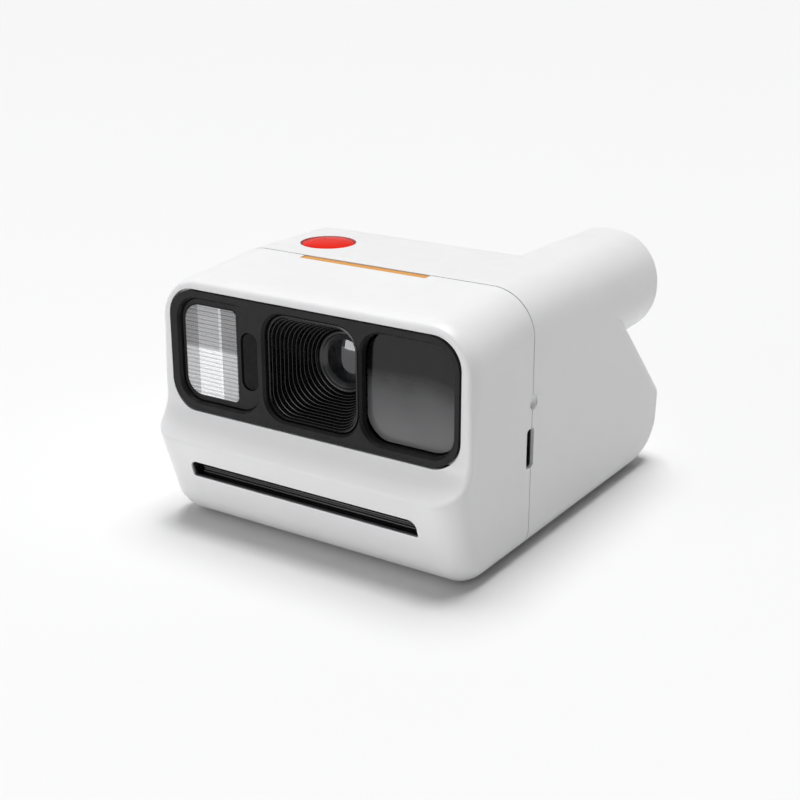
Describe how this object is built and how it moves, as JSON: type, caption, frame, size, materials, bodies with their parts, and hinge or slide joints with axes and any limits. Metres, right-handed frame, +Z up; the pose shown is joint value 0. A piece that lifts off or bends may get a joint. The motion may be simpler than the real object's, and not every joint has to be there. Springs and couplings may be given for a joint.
{
  "type": "instant camera",
  "caption": "Compact white instant camera with a black three-window front, a red shutter button, a print slot in the chin and a viewfinder tube at the back.",
  "frame": {"origin": "middle of the footprint at the base, where the camera stands", "axes": "+X to the right seen from the front, the front faces -Y, +Z up"},
  "size_m": [0.084, 0.1046, 0.0619],
  "materials": {
    "white_shell": "satin white moulded plastic",
    "black_panel": "fine matte black moulded plastic",
    "black_gloss": "gloss black plastic",
    "black_rubber": "matte black rubber",
    "clear_lens": "clear polished lens",
    "tinted_lens": "grey coated lens",
    "smoked_lens": "smoked plastic window",
    "red_button": "gloss red plastic",
    "accent": "printed accent strip",
    "grey_plastic": "matte dark grey engineering plastic",
    "steel": "turned steel",
    "bright_metal": "bright pressed reflector",
    "mirror": "front-silvered mirror",
    "gear_plastic": "natural moulded acetal",
    "board": "solder mask green",
    "battery_wrap": "heat-shrunk wrap",
    "display": "dark display"
  },
  "bodies": {
    "camera_body": {"accent_strip": "accent", "battery": "battery_wrap", "button_board": "board", "charge_light": "clear_lens", "counter_display": "display", "counter_window": "smoked_lens", "door_hinge_pin": "steel", "drive_motor": "steel", "eyecup": "black_rubber", "eyepiece_lens": "clear_lens", "film_chamber": "grey_plastic", "film_pack": "black_panel", "film_shield": "black_gloss", "film_slot_bezel": "black_gloss", "flash_capacitor": "battery_wrap", "flash_housing": "black_panel", "flash_lens": "clear_lens", "flash_reflector": "bright_metal", "flash_tube": "clear_lens", "front_lens": "clear_lens", "front_panel": "black_panel", "front_shell": "white_shell", "idler_axle": "steel", "lens_barrel": "black_gloss", "lens_cone": "black_panel", "light_box": "grey_plastic", "main_board": "board", "mirror": "mirror", "photocell_sensor": "display", "photocell_window": "smoked_lens", "rear_lens": "clear_lens", "rear_shell": "white_shell", "roller_frame": "steel", "shell_screws": "steel", "shutter_case": "black_panel", "shutter_spring": "steel", "shutter_switch": "grey_plastic", "usb_port": "black_gloss", "viewfinder_tunnel": "black_panel", "viewfinder_window": "tinted_lens"},
    "film_door": {"film_door": "white_shell"},
    "door_latch": {"door_latch": "white_shell"},
    "shutter_button": {"shutter_button": "red_button"},
    "power_button": {"power_button": "white_shell"},
    "flash_button": {"flash_button": "white_shell"},
    "shutter_blade": {"shutter_blade": "black_panel"},
    "aperture_vane": {"aperture_vane": "black_panel"},
    "upper_roller": {"upper_roller": "steel", "upper_roller_gear": "gear_plastic"},
    "lower_roller": {"lower_roller": "steel", "lower_roller_gear": "gear_plastic"},
    "idler_gear": {"idler_gear": "gear_plastic"},
    "motor_rotor": {"motor_pinion": "gear_plastic", "motor_shaft": "steel"}
  },
  "joints": [
    {"name": "shutter_button_press", "type": "slide", "parent": "camera_body", "child": "shutter_button", "axis": [0, 0, -1], "range_m": [0, 0.001], "stiffness_N_per_m": 400, "deforming": ["shutter_spring"]},
    {"name": "power_button_press", "type": "slide", "parent": "camera_body", "child": "power_button", "axis": [0, -0.7071, -0.7071], "range_m": [0, 0.0008], "stiffness_N_per_m": 400},
    {"name": "flash_button_press", "type": "slide", "parent": "camera_body", "child": "flash_button", "axis": [0, -0.7071, -0.7071], "range_m": [0, 0.0008], "stiffness_N_per_m": 400},
    {"name": "door_latch_slide", "type": "slide", "parent": "camera_body", "child": "door_latch", "axis": [0, -0.7071, 0.7071], "range_m": [0, 0.0025], "stiffness_N_per_m": 300},
    {"name": "film_door_hinge", "type": "hinge", "parent": "camera_body", "child": "film_door", "pos_m": [0, 0.009, 0.0022], "axis": [-1, 0, 0], "range_deg": [0, 75]},
    {"name": "shutter_blade_swing", "type": "hinge", "parent": "camera_body", "child": "shutter_blade", "pos_m": [-0.00575, -0.0246, 0.0355], "axis": [0, -1, 0], "range_deg": [0, 56], "stiffness_Nm_per_rad": 0.0004},
    {"name": "aperture_vane_swing", "type": "hinge", "parent": "camera_body", "child": "aperture_vane", "pos_m": [0.00745, -0.0236, 0.0355], "axis": [0, 1, 0], "range_deg": [0, 56], "stiffness_Nm_per_rad": 0.0004},
    {"name": "upper_roller_spin", "type": "hinge", "parent": "camera_body", "child": "upper_roller", "pos_m": [0, -0.037, 0.01825], "axis": [1, 0, 0], "continuous": true},
    {"name": "lower_roller_spin", "type": "hinge", "parent": "camera_body", "child": "lower_roller", "pos_m": [0, -0.037, 0.01175], "axis": [1, 0, 0], "continuous": true},
    {"name": "idler_spin", "type": "hinge", "parent": "camera_body", "child": "idler_gear", "pos_m": [0, -0.02953, 0.02452], "axis": [1, 0, 0], "continuous": true},
    {"name": "motor_spin", "type": "hinge", "parent": "camera_body", "child": "motor_rotor", "pos_m": [0, -0.02107, 0.0276], "axis": [1, 0, 0], "continuous": true}
  ],
  "couplings": [
    {"joint": "lower_roller_spin", "follows": "upper_roller_spin", "ratio": -1},
    {"joint": "idler_spin", "follows": "upper_roller_spin", "ratio": -0.5},
    {"joint": "motor_spin", "follows": "upper_roller_spin", "ratio": 1.3}
  ]
}
